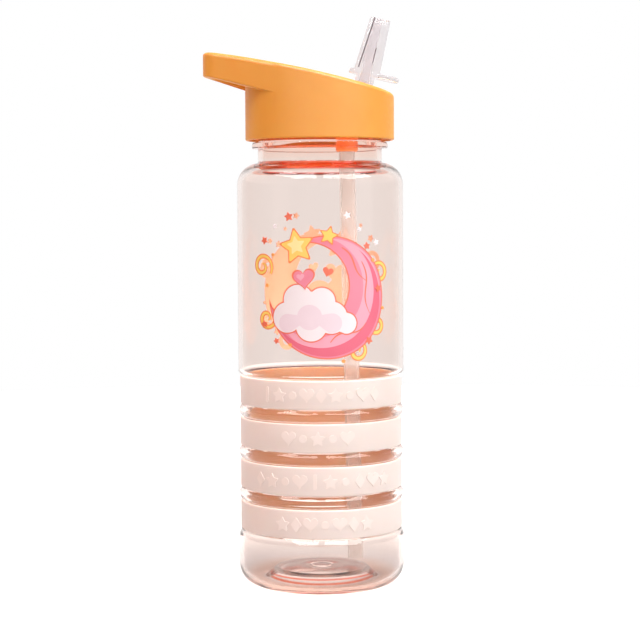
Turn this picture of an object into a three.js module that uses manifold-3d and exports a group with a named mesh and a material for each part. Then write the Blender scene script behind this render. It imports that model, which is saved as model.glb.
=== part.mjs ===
// Kids water bottle: clear blow-moulded body with four silicone bands, and a screw lid
// with a carry loop, a fold-down drinking spout and a straw.
// Millimetres, +Z up. Everything is drawn about the bottle's axis; the whole group is then
// moved along X so that the origin is the centre of the footprint, on the resting plane.
import * as THREE from 'three';
import { mergeVertices } from 'three/addons/utils/BufferGeometryUtils.js';
import Module from 'manifold-3d';

const wasm = await Module();
wasm.setup();

// ---------- driving dimensions ----------

const ROUND = 36; // sides of the large turned surfaces
const SMALL_ROUND = 16; // sides of the small ones
const FIT_GAP = 0.3; // running clearance between pieces
const REST_GAP = 0.2; // clearance between pieces that sit on each other

// Bottle body
const BODY_RADIUS = 36.5;
const WALL = 1.8;
const BASE_ROUND = 8.5;
const RING_INNER_RADIUS = 24; // standing ring, inside edge
const PUNT_RADIUS = 20.2;
const PUNT_HEIGHT = 5.4;
const BASE_WALL = 2.4;
const SHOULDER_HEIGHT = 185.4;
const SHOULDER_ROUND = 9.5;
const NECK_RADIUS = 27.2;
const NECK_WALL = 1.9;
const FLANGE_RADIUS = 29.8;
const FLANGE_BOTTOM = 191.7;
const FLANGE_TOP = 194.3;
const MOUTH_HEIGHT = 203.6;

// Bands and the ribs between them
const BAND_NAMES = ['band_bottom', 'band_lower', 'band_upper', 'band_top'];
const BAND_START = 25;
const BAND_PITCH = 18.4;
const BAND_WIDTH = 12.3;
const BAND_RADIUS = 35.7;
const BAND_THICKNESS = 1.6;
const RIB_RADIUS = 36.3;
const RIB_ROUND = 2.4;
const GROOVE_RADIUS = BAND_RADIUS - BAND_THICKNESS - REST_GAP;
const GROOVE_INSIDE = GROOVE_RADIUS - 1.7;

// Screw thread: one rounded bead on the neck and one in the lid. Their crests pass each
// other with a clearance, because turning and lifting are two separate joints.
const THREAD_PITCH = 3;
const THREAD_TURNS = 1.25;
const BEAD_RADIUS = 1.05;
const NECK_BEAD_PATH = 27.15;
const NECK_BEAD_START = 196.9;
const LID_BEAD_PATH = 29.55;
const LID_BEAD_START = 197.9;

// Lid
const CAP_RADIUS = 32.6;
const CAP_WALL = 1.6;
const CAP_BOTTOM = 195.3;
const CAP_RIM_ROUND = 1.6;
const TOP_WALL = 2;
const TOP_AT_AXIS = 223; // height of the sloping top where it crosses the bottle's axis
const LEAN = THREE.MathUtils.degToRad(13.3); // slope of the lid's top
const SLOPE = Math.tan(LEAN);
const LOOP_REACH = 51;
const LOOP_TIP_RADIUS = 12;
const LOOP_TIP_HEIGHT = 10.6;
const LOOP_DEEPENING = 0.0074; // growth of the loop's height towards the cap, per millimetre
const LOOP_THICKNESS = 4.6;

// Inner cap
const SKIRT_OUTER_RADIUS = CAP_RADIUS - CAP_WALL - FIT_GAP;
const SKIRT_INNER_RADIUS = 29.5;
const SKIRT_BOTTOM = 196.2;
const PLATE_BOTTOM = 205.1;
const PLATE_TOP = 206.9;
const PLUG_INNER_RADIUS = 23.6;
const PLUG_OUTER_RADIUS = 24.8;
const PLUG_BOTTOM = 201.6;
const SOCKET_RADIUS = 4.85;
const SOCKET_BOTTOM = 190.6;
const CHANNEL_RADIUS = 2;
const CHANNEL_DEPTH = 1;
const VENT_X = -13;
const VENT_STEM_RADIUS = 1.2;
const VENT_HOLE_RADIUS = 0.6;
const VENT_HOLE_OFFSET = 2.6;

// Straw
const STRAW_RADIUS = 3.5;
const STRAW_BORE_RADIUS = 2.7;
const STRAW_X = 11.9; // at the height below
const STRAW_Z = 189;
const STRAW_TOP = 203;
const STRAW_BOTTOM = 10.5;
const STRAW_LEAN = THREE.MathUtils.degToRad(1.02);

// Spout, in its own frame: the pivot is the origin and Z runs up the mouthpiece
const SPOUT_FOOT_X = 19.04; // where the mouthpiece's centre line crosses the lid's top
const PIVOT_DEPTH = 2.2; // pivot below the lid's top, square to it
const DRUM_RADIUS = 4.6;
const DRUM_HALF_LENGTH = 6.5;
const PIN_RADIUS = 1.6;
const PIN_END = 8.6;
const STEM_RADIUS = 4.15;
const TAB_BOTTOM = 7.1;
const TAB_TOP = 9.4;
const TAB_BACK = -7.7;
const TAB_FRONT = 14.8;
const TAB_HALF_WIDTH = 6;
const MOUTHPIECE_TOP = 32.6;
const MOUTHPIECE_FOOT = { back: -5.7, front: 5.9, halfWidth: 6.2 };
const MOUTHPIECE_TIP = { back: -3.75, front: 5.3, halfWidth: 4.4 };
const MOUTHPIECE_CORNER = 1.6;
const SPOUT_BORE_RADIUS = 2.2;

// Trough that the folded spout lies in; depths are measured straight down from the top
const TROUGH_LEFT = -15;
const TROUGH_RIGHT = 23.9;
const TROUGH_HALF_WIDTH = 7;
const TROUGH_DEPTH = 7.9;
const TROUGH_WALL = 1.5;
const TROUGH_SIDE_WALL = 1.8;
const POCKET_LEFT = 5.4; // deeper pocket for the back of the folded tab
const POCKET_RIGHT = 10.6;
const POCKET_FLOOR = 209.8;
const POCKET_WALL = 1.1;
const KNUCKLE_RADIUS = 3.4;
const KNUCKLE_END = 9.2;

// Seals
const SEAL_RADIUS = 3.6;
const SEAL_PAD_TOP = 208.2;
const GASKET_INNER_RADIUS = 25.1;
const GASKET_OUTER_RADIUS = 28.9;

// ---------- materials ----------

function plastic(color, roughness, opacity = 1) {
  return new THREE.MeshStandardMaterial({
    color,
    roughness,
    metalness: 0,
    transparent: opacity < 1,
    opacity,
  });
}

const TINTED_CLEAR = plastic(0xf2cfc6, 0.08, 0.4);
const CLEAR = plastic(0xe9e9ea, 0.08, 0.4);
const ORANGE = plastic(0xf09a3c, 0.35);
const BAND_SILICONE = plastic(0xf4ddd2, 0.6);
const WHITE_SILICONE = plastic(0xf1efec, 0.6);

// ---------- solids ----------

// A manifold solid from a closed geometry: seams merged, and the empty triangles at the
// poles of turned shapes left out.
function solidOf(geometry) {
  const bare = new THREE.BufferGeometry();
  bare.setAttribute('position', geometry.getAttribute('position').clone());
  bare.setIndex(geometry.getIndex());
  const merged = mergeVertices(bare, 1e-4);
  const index = merged.getIndex().array;
  const corners = [];
  for (let i = 0; i < index.length; i += 3) {
    const [a, b, c] = [index[i], index[i + 1], index[i + 2]];
    if (a !== b && b !== c && c !== a) {
      corners.push(a, b, c);
    }
  }
  return new wasm.Manifold(new wasm.Mesh({
    numProp: 3,
    vertProperties: merged.getAttribute('position').array,
    triVerts: new Uint32Array(corners),
  }));
}

function meshOf(name, solid, material) {
  const data = solid.getMesh();
  const geometry = new THREE.BufferGeometry();
  geometry.setAttribute('position', new THREE.BufferAttribute(data.vertProperties, 3));
  geometry.setIndex(new THREE.BufferAttribute(data.triVerts, 1));
  geometry.computeVertexNormals();
  const mesh = new THREE.Mesh(geometry, material);
  mesh.name = name;
  return mesh;
}

// Points of an outline given by its corners, each [x, y, radius, steps]. A corner with a
// radius becomes an arc that touches both its sides.
function roundedOutline(corners) {
  const points = [];
  corners.forEach(([x, y, radius = 0, steps = 1], i) => {
    const corner = new THREE.Vector2(x, y);
    if (radius === 0) {
      points.push(corner);
      return;
    }
    const back = new THREE.Vector2(...corners[i - 1].slice(0, 2)).sub(corner).normalize();
    const ahead = new THREE.Vector2(...corners[i + 1].slice(0, 2)).sub(corner).normalize();
    const half = Math.acos(THREE.MathUtils.clamp(back.dot(ahead), -1, 1)) / 2;
    const bisector = back.clone().add(ahead).normalize();
    const centre = corner.clone().addScaledVector(bisector, radius / Math.sin(half));
    const touch = corner.clone().addScaledVector(back, radius / Math.tan(half));
    const turn = (back.cross(ahead) > 0 ? -1 : 1) * (Math.PI - 2 * half);
    for (let step = 0; step <= steps; step += 1) {
      points.push(touch.clone().rotateAround(centre, turn * step / steps));
    }
  });
  return points;
}

// Moves every point of a geometry: move(point) changes a vector in place.
function reshape(geometry, move) {
  const position = geometry.getAttribute('position');
  const point = new THREE.Vector3();
  for (let i = 0; i < position.count; i += 1) {
    move(point.fromBufferAttribute(position, i));
    position.setXYZ(i, ...point);
  }
}

// Turns an outline of [radius, height, ...] corners about Z.
function turned(corners, sides = ROUND) {
  const geometry = new THREE.LatheGeometry(roundedOutline(corners), sides);
  geometry.rotateX(Math.PI / 2);
  return solidOf(geometry);
}

// A ring turned about Z, from its inner and outer radius and its two heights.
function ring(inner, outer, bottom, top, edge = 0, sides = ROUND) {
  const middle = (bottom + top) / 2;
  return turned([
    [inner, middle],
    [inner, bottom, edge],
    [outer, bottom, edge],
    [outer, top, edge],
    [inner, top, edge],
    [inner, middle],
  ], sides);
}

function rod(radius, bottom, top, sides = SMALL_ROUND) {
  const geometry = new THREE.CylinderGeometry(radius, radius, top - bottom, sides);
  geometry.rotateX(Math.PI / 2);
  geometry.translate(0, 0, (bottom + top) / 2);
  return geometry;
}

function rodAcross(radius, from, to, sides = 24) {
  const geometry = new THREE.CylinderGeometry(radius, radius, to - from, sides);
  geometry.translate(0, (from + to) / 2, 0);
  return geometry;
}

function box(low, high) {
  const size = high.map((value, i) => value - low[i]);
  const geometry = new THREE.BoxGeometry(...size);
  geometry.translate(...low.map((value, i) => value + size[i] / 2));
  return geometry;
}

// A rounded thread bead along a helix.
function threadBead(pathRadius, start) {
  class Helix extends THREE.Curve {
    getPoint(t, target = new THREE.Vector3()) {
      const angle = 2 * Math.PI * THREAD_TURNS * t;
      const height = start + THREAD_PITCH * THREAD_TURNS * t;
      return target.set(pathRadius * Math.cos(angle), pathRadius * Math.sin(angle), height);
    }
  }
  const section = new THREE.Shape().absarc(0, 0, BEAD_RADIUS, 0, 2 * Math.PI);
  const geometry = new THREE.ExtrudeGeometry(section, {
    extrudePath: new Helix(),
    steps: 36,
    curveSegments: 3,
    bevelEnabled: false,
  });
  return solidOf(geometry);
}

// ---------- lid helpers ----------

// Height of the lid's sloping top at a place along X.
function topAt(x) {
  return TOP_AT_AXIS - x * SLOPE;
}

// A prism with upright sides whose ends follow the lid's slope. Its heights are measured
// from the sloping top. With a deepening, the heights grow along X from the loop's tip.
function slopedPrism(shape, bottom, top, rimRound = 0, deepening = 0) {
  const geometry = new THREE.ExtrudeGeometry(shape, {
    depth: top - bottom - 2 * rimRound,
    bevelEnabled: rimRound > 0,
    bevelThickness: rimRound,
    bevelSize: rimRound,
    bevelOffset: -rimRound,
    bevelSegments: 2,
    curveSegments: ROUND / 2,
  });
  geometry.translate(0, 0, bottom + rimRound);
  reshape(geometry, (point) => {
    point.z = topAt(point.x) + point.z * (1 + deepening * (point.x + LOOP_REACH));
  });
  return solidOf(geometry);
}

function circle(radius) {
  return new THREE.Shape().absarc(0, 0, radius, 0, 2 * Math.PI);
}

function rectangle(left, right, halfWidth) {
  return new THREE.Shape()
    .moveTo(left, -halfWidth)
    .lineTo(right, -halfWidth)
    .lineTo(right, halfWidth)
    .lineTo(left, halfWidth)
    .closePath();
}

// The lid seen from above: a circle and a smaller tip circle, joined by their tangents.
function loopOutline(inset) {
  const tipX = LOOP_TIP_RADIUS - LOOP_REACH;
  const away = Math.acos((CAP_RADIUS - LOOP_TIP_RADIUS) / -tipX);
  return new THREE.Shape()
    .absarc(0, 0, CAP_RADIUS - inset, away - Math.PI, Math.PI - away)
    .absarc(tipX, 0, LOOP_TIP_RADIUS - inset, Math.PI - away, Math.PI + away)
    .closePath();
}

// A straight slot with round ends between two places on the X axis.
function stadium(from, to, radius) {
  return new THREE.Shape()
    .absarc(to, 0, radius, -Math.PI / 2, Math.PI / 2)
    .absarc(from, 0, radius, Math.PI / 2, 3 * Math.PI / 2)
    .closePath();
}

function flatPrism(shape, bottom, top, curveSegments = SMALL_ROUND / 2) {
  const geometry = new THREE.ExtrudeGeometry(shape, {
    depth: top - bottom,
    bevelEnabled: false,
    curveSegments,
  });
  geometry.translate(0, 0, bottom);
  return geometry;
}

const PIVOT = new THREE.Vector3(
  SPOUT_FOOT_X - PIVOT_DEPTH * Math.sin(LEAN),
  0,
  topAt(SPOUT_FOOT_X) - PIVOT_DEPTH * Math.cos(LEAN),
);

// Puts a geometry drawn in the spout's own frame in its place on the lid.
function atPivot(geometry) {
  geometry.rotateY(LEAN);
  geometry.translate(...PIVOT);
  return solidOf(geometry);
}

// Where the spout's centre line, carried on down, meets the inner cap.
const PORT_X = PIVOT.x - (PIVOT.z - PLATE_TOP) * SLOPE;

// ---------- pieces ----------

function bandBottom(i) {
  return BAND_START + i * BAND_PITCH;
}

function bodyOutside() {
  const corners = [
    [0, PUNT_HEIGHT + 0.8],
    [PUNT_RADIUS, PUNT_HEIGHT, 1.5],
    [RING_INNER_RADIUS, 0, 0.8],
    [BODY_RADIUS, 0, BASE_ROUND, 4],
    [BODY_RADIUS, bandBottom(0) - REST_GAP, 0.8],
  ];
  const last = BAND_NAMES.length - 1;
  for (let i = 0; i < last; i += 1) {
    const ribBottom = bandBottom(i) + BAND_WIDTH + REST_GAP;
    const ribTop = bandBottom(i + 1) - REST_GAP;
    corners.push(
      [GROOVE_RADIUS, bandBottom(i) - REST_GAP],
      [GROOVE_RADIUS, ribBottom],
      [RIB_RADIUS, ribBottom, RIB_ROUND, 2],
      [RIB_RADIUS, ribTop, RIB_ROUND, 2],
    );
  }
  const bandsTop = bandBottom(last) + BAND_WIDTH + REST_GAP;
  corners.push(
    [GROOVE_RADIUS, bandBottom(last) - REST_GAP],
    [GROOVE_RADIUS, bandsTop],
    [BODY_RADIUS, bandsTop, 0.8],
    [BODY_RADIUS, SHOULDER_HEIGHT, SHOULDER_ROUND, 5],
    [NECK_RADIUS, SHOULDER_HEIGHT + 0.8, 0.6],
    [NECK_RADIUS, FLANGE_BOTTOM],
    [FLANGE_RADIUS, FLANGE_BOTTOM, 0.6],
    [FLANGE_RADIUS, FLANGE_TOP, 0.6],
    [NECK_RADIUS, FLANGE_TOP],
    [NECK_RADIUS, MOUTH_HEIGHT, 0.6],
  );
  return corners;
}

function bodyInside() {
  const inside = BODY_RADIUS - WALL;
  const mouth = NECK_RADIUS - NECK_WALL;
  const shoulder = SHOULDER_HEIGHT - WALL;
  const grooveTop = bandBottom(BAND_NAMES.length - 1) + BAND_WIDTH;
  return [
    [mouth, MOUTH_HEIGHT, 0.4],
    [mouth, shoulder + 0.8, 1],
    [inside, shoulder, SHOULDER_ROUND - WALL, 4],
    [inside, grooveTop + 1.9, 1.5],
    [GROOVE_INSIDE, grooveTop - 0.9, 1.5],
    [GROOVE_INSIDE, BAND_START + 0.9, 1.5],
    [inside, BAND_START - 1.9, 1.5],
    [inside, BASE_WALL, BASE_ROUND - WALL, 3],
    [RING_INNER_RADIUS + 1.2, BASE_WALL, 1.5],
    [PUNT_RADIUS + 1.2, PUNT_HEIGHT + BASE_WALL, 1.5],
    [0, PUNT_HEIGHT + BASE_WALL + 0.8],
  ];
}

function bottleBody() {
  const blown = turned([...bodyOutside(), ...bodyInside()]);
  return meshOf('bottle_body', blown.add(threadBead(NECK_BEAD_PATH, NECK_BEAD_START)), TINTED_CLEAR);
}

function band(name, i) {
  const bottom = bandBottom(i);
  const solid = ring(BAND_RADIUS - BAND_THICKNESS, BAND_RADIUS, bottom, bottom + BAND_WIDTH, 0.4);
  return meshOf(name, solid, BAND_SILICONE);
}

function trough(leftExtra, sideExtra, depthExtra, top) {
  const plan = rectangle(
    TROUGH_LEFT - leftExtra,
    TROUGH_RIGHT + leftExtra,
    TROUGH_HALF_WIDTH + sideExtra,
  );
  return slopedPrism(plan, -TROUGH_DEPTH - depthExtra, top);
}

function tabPocket(extra, floor, sideExtra) {
  const halfWidth = TROUGH_HALF_WIDTH + sideExtra;
  return solidOf(box(
    [POCKET_LEFT - extra, -halfWidth, floor],
    [POCKET_RIGHT + extra, halfWidth, topAt(POCKET_RIGHT) - TOP_WALL],
  ));
}

function capShell() {
  const drop = 50; // deeper than the lid, so that the level cut makes its lower edge
  const below = solidOf(box([-60, -60, CAP_BOTTOM - 60], [60, 60, CAP_BOTTOM]));
  const capSolid = slopedPrism(circle(CAP_RADIUS), -drop, 0, CAP_RIM_ROUND).subtract(below);
  const fingerHole = slopedPrism(loopOutline(LOOP_THICKNESS), -LOOP_TIP_HEIGHT - 8, 5)
    .subtract(solidOf(rod(CAP_RADIUS, CAP_BOTTOM, TOP_AT_AXIS + 30, ROUND)));
  const loop = slopedPrism(loopOutline(0), -LOOP_TIP_HEIGHT, 0, CAP_RIM_ROUND, LOOP_DEEPENING)
    .subtract(fingerHole);
  const cavity = slopedPrism(circle(CAP_RADIUS - CAP_WALL), -drop - 5, -TOP_WALL);
  const troughOutside = trough(TROUGH_WALL, TROUGH_SIDE_WALL, TROUGH_WALL, -TOP_WALL / 2)
    .add(tabPocket(TROUGH_WALL, POCKET_FLOOR - POCKET_WALL, TROUGH_SIDE_WALL));
  const knuckles = atPivot(rodAcross(KNUCKLE_RADIUS, -KNUCKLE_END, KNUCKLE_END));
  const spoutSpace = trough(0, 0, 0, 10)
    .add(tabPocket(0, POCKET_FLOOR, 0))
    .add(atPivot(rodAcross(PIN_RADIUS + FIT_GAP, -KNUCKLE_END - 1, KNUCKLE_END + 1)))
    .add(atPivot(rod(SEAL_RADIUS + FIT_GAP, -DRUM_RADIUS - 12, 0)));
  const shell = capSolid
    .add(loop)
    .subtract(cavity)
    .add(troughOutside)
    .add(knuckles)
    .subtract(spoutSpace);
  return meshOf('cap_shell', shell, ORANGE);
}

function innerCap() {
  const turnedCap = turned([
    [0, PLATE_BOTTOM],
    [PLUG_INNER_RADIUS, PLATE_BOTTOM],
    [PLUG_INNER_RADIUS, PLUG_BOTTOM],
    [PLUG_OUTER_RADIUS, PLUG_BOTTOM],
    [PLUG_OUTER_RADIUS, PLATE_BOTTOM],
    [SKIRT_INNER_RADIUS, PLATE_BOTTOM],
    [SKIRT_INNER_RADIUS, SKIRT_BOTTOM],
    [SKIRT_OUTER_RADIUS, SKIRT_BOTTOM],
    [SKIRT_OUTER_RADIUS, PLATE_TOP],
    [0, PLATE_TOP],
  ]);
  const socket = rod(SOCKET_RADIUS, SOCKET_BOTTOM, PLATE_BOTTOM + 0.5, 24);
  socket.translate(STRAW_X, 0, 0);
  const strawBore = rod(STRAW_RADIUS + FIT_GAP, SOCKET_BOTTOM - 5 - STRAW_Z, STRAW_TOP + 0.5 - STRAW_Z, 24);
  strawBore.rotateY(-STRAW_LEAN);
  strawBore.translate(STRAW_X, 0, STRAW_Z);
  const throat = rod(CHANNEL_RADIUS, STRAW_TOP - 1, PLATE_TOP - CHANNEL_DEPTH / 2);
  throat.translate(STRAW_X, 0, 0);
  const channelShape = stadium(STRAW_X, PORT_X, CHANNEL_RADIUS);
  const channel = flatPrism(channelShape, PLATE_TOP - CHANNEL_DEPTH, PLATE_TOP + 1);
  const vents = [0, VENT_HOLE_OFFSET, -VENT_HOLE_OFFSET].map((offset) => {
    const radius = offset === 0 ? VENT_STEM_RADIUS + FIT_GAP : VENT_HOLE_RADIUS;
    const hole = rod(radius, PLATE_BOTTOM - 1, PLATE_TOP + 1, 12);
    hole.translate(VENT_X, offset, 0);
    return hole;
  });
  const cuts = [strawBore, throat, channel, ...vents];
  const solid = cuts.reduce(
    (rest, cut) => rest.subtract(solidOf(cut)),
    turnedCap.add(solidOf(socket)).add(threadBead(LID_BEAD_PATH, LID_BEAD_START)),
  );
  return meshOf('inner_cap', solid, ORANGE);
}

function lidGasket() {
  const solid = ring(
    GASKET_INNER_RADIUS,
    GASKET_OUTER_RADIUS,
    MOUTH_HEIGHT + REST_GAP,
    PLATE_BOTTOM - REST_GAP,
  );
  return meshOf('lid_gasket', solid, WHITE_SILICONE);
}

function ventValve() {
  const discTop = PLATE_BOTTOM - REST_GAP;
  const solid = turned([
    [0, discTop - 0.9],
    [3.2, discTop - 0.9],
    [4, discTop],
    [VENT_STEM_RADIUS, discTop],
    [VENT_STEM_RADIUS, PLATE_TOP + REST_GAP],
    [2.1, PLATE_TOP + REST_GAP],
    [1.4, PLATE_TOP + 2],
    [0, PLATE_TOP + 2.2],
  ], SMALL_ROUND);
  const mesh = meshOf('vent_valve', solid, WHITE_SILICONE);
  mesh.position.x = VENT_X;
  return mesh;
}

function straw() {
  const cosine = Math.cos(STRAW_LEAN);
  const top = (STRAW_TOP - STRAW_Z) / cosine;
  const bottom = (STRAW_BOTTOM - STRAW_Z) / cosine;
  const mesh = meshOf('straw', ring(STRAW_BORE_RADIUS, STRAW_RADIUS, bottom, top, 0, 24), CLEAR);
  mesh.position.set(STRAW_X, 0, STRAW_Z);
  mesh.rotation.y = -STRAW_LEAN;
  return mesh;
}

function spoutSeal() {
  const level = PLATE_TOP + REST_GAP;
  const pad = solidOf(flatPrism(stadium(STRAW_X, PORT_X, SEAL_RADIUS), level, SEAL_PAD_TOP, 12));
  const solid = atPivot(rod(SEAL_RADIUS, -DRUM_RADIUS - 10, -STEM_RADIUS - FIT_GAP, 24))
    .add(pad)
    .subtract(atPivot(rodAcross(DRUM_RADIUS + FIT_GAP, -DRUM_HALF_LENGTH, DRUM_HALF_LENGTH, 32)))
    .subtract(atPivot(rod(CHANNEL_RADIUS, -DRUM_RADIUS - 12, 1)))
    .subtract(solidOf(box([-10, -20, level - 20], [40, 20, level])));
  return meshOf('spout_seal', solid, WHITE_SILICONE);
}

// Flat sides that draw in from the mouthpiece's foot to its square-cut tip.
function mouthpiece() {
  const { back, front, halfWidth } = MOUTHPIECE_FOOT;
  const section = new THREE.Shape(roundedOutline([
    [0, -halfWidth],
    [front, -halfWidth, MOUTHPIECE_CORNER, 3],
    [front, halfWidth, MOUTHPIECE_CORNER, 3],
    [back, halfWidth, MOUTHPIECE_CORNER, 3],
    [back, -halfWidth, MOUTHPIECE_CORNER, 3],
    [-1, -halfWidth],
  ]));
  const foot = TAB_TOP - 0.5;
  const geometry = flatPrism(section, foot, MOUTHPIECE_TOP);
  const lengthRatio = (MOUTHPIECE_TIP.front - MOUTHPIECE_TIP.back) / (front - back);
  const widthRatio = MOUTHPIECE_TIP.halfWidth / halfWidth;
  reshape(geometry, (point) => {
    const way = (point.z - foot) / (MOUTHPIECE_TOP - foot);
    const tipX = MOUTHPIECE_TIP.back + (point.x - back) * lengthRatio;
    point.x = THREE.MathUtils.lerp(point.x, tipX, way);
    point.y *= THREE.MathUtils.lerp(1, widthRatio, way);
  });
  return solidOf(geometry);
}

// The clear spout, drawn upright about its pivot and then leaned to stand square to the lid.
function spout() {
  const tab = flatPrism(
    stadium(TAB_BACK + TAB_HALF_WIDTH, TAB_FRONT - TAB_HALF_WIDTH, TAB_HALF_WIDTH),
    TAB_BOTTOM,
    TAB_TOP,
  );
  const solid = solidOf(rodAcross(DRUM_RADIUS, -DRUM_HALF_LENGTH, DRUM_HALF_LENGTH, 32))
    .add(solidOf(rodAcross(PIN_RADIUS, -PIN_END, PIN_END)))
    .add(solidOf(rod(STEM_RADIUS, 0, TAB_TOP, 24)))
    .add(solidOf(tab))
    .add(mouthpiece())
    .subtract(solidOf(rod(SPOUT_BORE_RADIUS, -DRUM_RADIUS - 1, MOUTHPIECE_TOP + 1)));
  const mesh = meshOf('spout', solid, CLEAR);
  mesh.position.copy(PIVOT);
  mesh.rotation.y = LEAN;
  return mesh;
}

// ---------- assembly ----------

const bottle = new THREE.Group();
bottle.add(bottleBody());
BAND_NAMES.forEach((name, i) => bottle.add(band(name, i)));

const lid = new THREE.Group();
lid.add(capShell(), innerCap(), lidGasket(), ventValve(), straw(), spoutSeal(), spout());

const waterBottle = new THREE.Group();
waterBottle.add(bottle, lid);
waterBottle.position.x = (LOOP_REACH - BODY_RADIUS) / 2;

export default waterBottle;
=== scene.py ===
import math

import bmesh
import bpy
from mathutils import Matrix, Vector


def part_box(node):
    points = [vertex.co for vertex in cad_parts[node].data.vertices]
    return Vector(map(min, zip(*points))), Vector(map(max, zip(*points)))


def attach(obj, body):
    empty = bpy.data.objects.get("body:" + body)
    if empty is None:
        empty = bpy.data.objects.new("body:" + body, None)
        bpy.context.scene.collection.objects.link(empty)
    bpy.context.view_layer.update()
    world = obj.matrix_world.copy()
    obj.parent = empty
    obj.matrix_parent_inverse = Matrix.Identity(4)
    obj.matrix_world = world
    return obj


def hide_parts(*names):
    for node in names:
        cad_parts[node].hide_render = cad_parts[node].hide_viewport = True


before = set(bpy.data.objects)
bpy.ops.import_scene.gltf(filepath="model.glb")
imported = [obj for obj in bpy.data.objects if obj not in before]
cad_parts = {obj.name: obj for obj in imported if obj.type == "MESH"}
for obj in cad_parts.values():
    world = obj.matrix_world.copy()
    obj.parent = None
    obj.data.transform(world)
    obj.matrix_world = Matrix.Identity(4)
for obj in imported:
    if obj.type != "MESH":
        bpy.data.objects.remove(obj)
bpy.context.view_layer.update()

# ---------- driving dimensions, in millimetres from the bottle's axis and its resting plane ----------

MM = 0.001
body_low, body_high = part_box("bottle_body")
AXIS_X = (body_low.x + body_high.x) / 2  # metres: the bottle's axis in the frame
BODY_RADIUS = (body_high.x - body_low.x) / 2 / MM
MOUTH_HEIGHT = body_high.z / MM
LEAN = math.radians(13.3)  # slope of the lid's top
SLOPE = math.tan(LEAN)
TOP_AT_AXIS = 223.0
SIDES = 160
EDGE_STEPS = 7  # of a rounded edge
FLARE_STEPS = 6

CAMERA_BACK = 760.0
CAMERA_HEIGHT = 161.4
CAMERA_PITCH = 3.39
CAMERA_ROLL = -0.3
CAMERA_LENS = 96.9
CAMERA_LEFT = 0.3


# ---------- camera ----------

def make_camera():
    data = bpy.data.cameras.new("camera")
    data.lens = CAMERA_LENS
    data.sensor_width = 36
    data.clip_start = 0.02
    camera = bpy.data.objects.new("camera", data)
    camera.location = (AXIS_X - CAMERA_LEFT * MM, -CAMERA_BACK * MM, CAMERA_HEIGHT * MM)
    turn = Matrix.Rotation(math.radians(90 - CAMERA_PITCH), 4, "X")
    roll = Matrix.Rotation(math.radians(CAMERA_ROLL), 4, "Z")
    camera.rotation_euler = (turn @ roll).to_euler()
    bpy.context.scene.collection.objects.link(camera)
    bpy.context.scene.camera = camera


make_camera()


# ---------- mesh helpers ----------

def rounded(corners, fineness=1.0):
    """Points of an outline from its corners (x, y, radius); a corner with a radius becomes an arc."""
    points = []
    count = len(corners)
    for i, corner in enumerate(corners):
        here = Vector(corner[:2])
        radius = corner[2] if len(corner) > 2 else 0
        if radius == 0:
            points.append(here)
            continue
        back = (Vector(corners[i - 1][:2]) - here).normalized()
        ahead = (Vector(corners[(i + 1) % count][:2]) - here).normalized()
        half = back.angle(ahead) / 2
        centre = here + (back + ahead).normalized() * radius / math.sin(half)
        start = here + back * radius / math.tan(half) - centre
        turn = math.pi - 2 * half
        if back.cross(ahead) > 0:
            turn = -turn
        steps = max(3, round(abs(turn) * (3 + math.sqrt(radius) * 1.6) * fineness))
        for k in range(steps + 1):
            angle = turn * k / steps
            points.append(centre + Matrix.Rotation(angle, 2) @ start)
    return points


def split_long(points, longest):
    """The same open outline with its long straight stretches cut into shorter ones."""
    result = [points[0]]
    for a, b in zip(points, points[1:]):
        steps = max(1, math.ceil((b - a).length / longest))
        result += [a.lerp(b, k / steps) for k in range(1, steps + 1)]
    return result


def bare_object(name, bm):
    """An object that takes a bmesh's place."""
    bmesh.ops.recalc_face_normals(bm, faces=bm.faces)
    mesh = bpy.data.meshes.new(name)
    bm.to_mesh(mesh)
    bm.free()
    piece = bpy.data.objects.new(name, mesh)
    bpy.context.scene.collection.objects.link(piece)
    return piece


def new_object(name, bm, materials, smooth_angle=35):
    """An object in the frame from a bmesh drawn in millimetres about the bottle's axis."""
    piece = bare_object(name, bm)
    mesh = piece.data
    mesh.transform(Matrix.Translation((AXIS_X, 0, 0)) @ Matrix.Scale(MM, 4))
    for material in materials:
        mesh.materials.append(material)
    mesh.polygons.foreach_set("use_smooth", [True] * len(mesh.polygons))
    mesh.set_sharp_from_angle(angle=math.radians(smooth_angle))
    return piece


def turned(bm, points, sides=SIDES, closed=False, shape=None, place=Matrix.Identity(4)):
    """Adds an outline of (radius, height) turned about Z. shape(radius, height, angle) changes radii."""
    rings = []
    for radius, height in points:
        if radius < 1e-6:
            rings.append([bm.verts.new(place @ Vector((0, 0, height)))])
            continue
        ring = []
        for k in range(sides):
            angle = 2 * math.pi * k / sides
            r = shape(radius, height, angle) if shape else radius
            ring.append(bm.verts.new(place @ Vector((r * math.cos(angle), r * math.sin(angle), height))))
        rings.append(ring)
    pairs = list(zip(rings, rings[1:]))
    if closed:
        pairs.append((rings[-1], rings[0]))
    for low, high in pairs:
        for k in range(sides):
            after = (k + 1) % sides
            if len(low) == 1:
                corners = (low[0], high[k], high[after])
            elif len(high) == 1:
                corners = (low[k], high[0], low[after])
            else:
                corners = (low[k], high[k], high[after], low[after])
            bm.faces.new(corners)


def offset_outline(points, distance):
    """A closed outline, drawn anticlockwise, moved outwards by a distance."""
    count = len(points)
    moved = []
    for i, point in enumerate(points):
        before = (point - points[i - 1]).normalized()
        after = (points[(i + 1) % count] - point).normalized()
        normal = Vector((before.y + after.y, -before.x - after.x)).normalized()
        stretch = 1 / max(0.5, normal.dot(Vector((before.y, -before.x))))
        moved.append(point + normal * distance * stretch)
    return moved


def skinned(bm, rings):
    """Adds faces between rings of vertices, and over the first and the last."""
    count = len(rings[0])
    for low, high in zip(rings, rings[1:]):
        for k in range(count):
            after = (k + 1) % count
            bm.faces.new((low[k], low[after], high[after], high[k]))
    bm.faces.new(rings[0][::-1])
    bm.faces.new(rings[-1])
    return bm


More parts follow.
